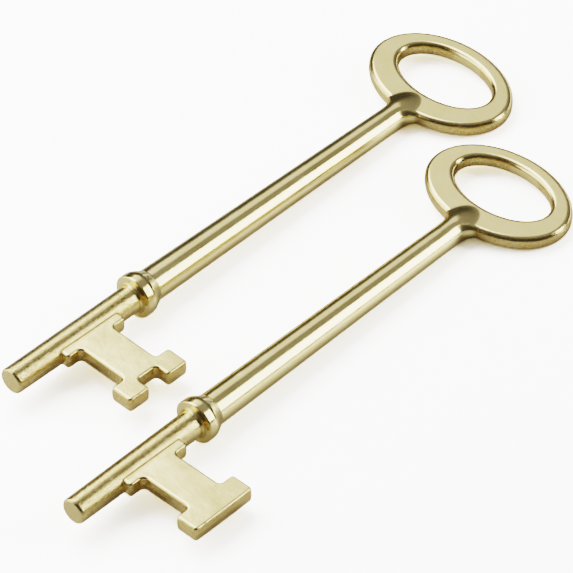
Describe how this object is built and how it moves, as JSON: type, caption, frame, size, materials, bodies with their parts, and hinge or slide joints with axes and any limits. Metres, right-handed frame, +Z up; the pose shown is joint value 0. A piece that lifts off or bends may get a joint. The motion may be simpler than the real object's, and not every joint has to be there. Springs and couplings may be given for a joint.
{
  "type": "bit key pair",
  "caption": "Loose bit keys for a mortise lock: collared round stem, oval ring bow and flat warded bit with a plain or a notched end.",
  "frame": {"origin": "middle of the pair's bounding box, on the table the keys lie on", "axes": "+X along the notched key's stem towards the bow, bits towards -Y, +Z up from the table"},
  "size_m": [0.0904, 0.0444, 0.0057],
  "materials": {
    "brass_plate": "bright brass plate over a slightly rippled die-casting"
  },
  "bodies": {
    "notched_key": {"key_notched_bit": "brass_plate"},
    "plain_key": {"key_plain_bit": "brass_plate"}
  },
  "joints": [
    {"name": "plain_key_lift", "type": "slide", "parent": "notched_key", "child": "plain_key", "axis": [0, 0, 1], "range_m": [0, 0.05]}
  ]
}
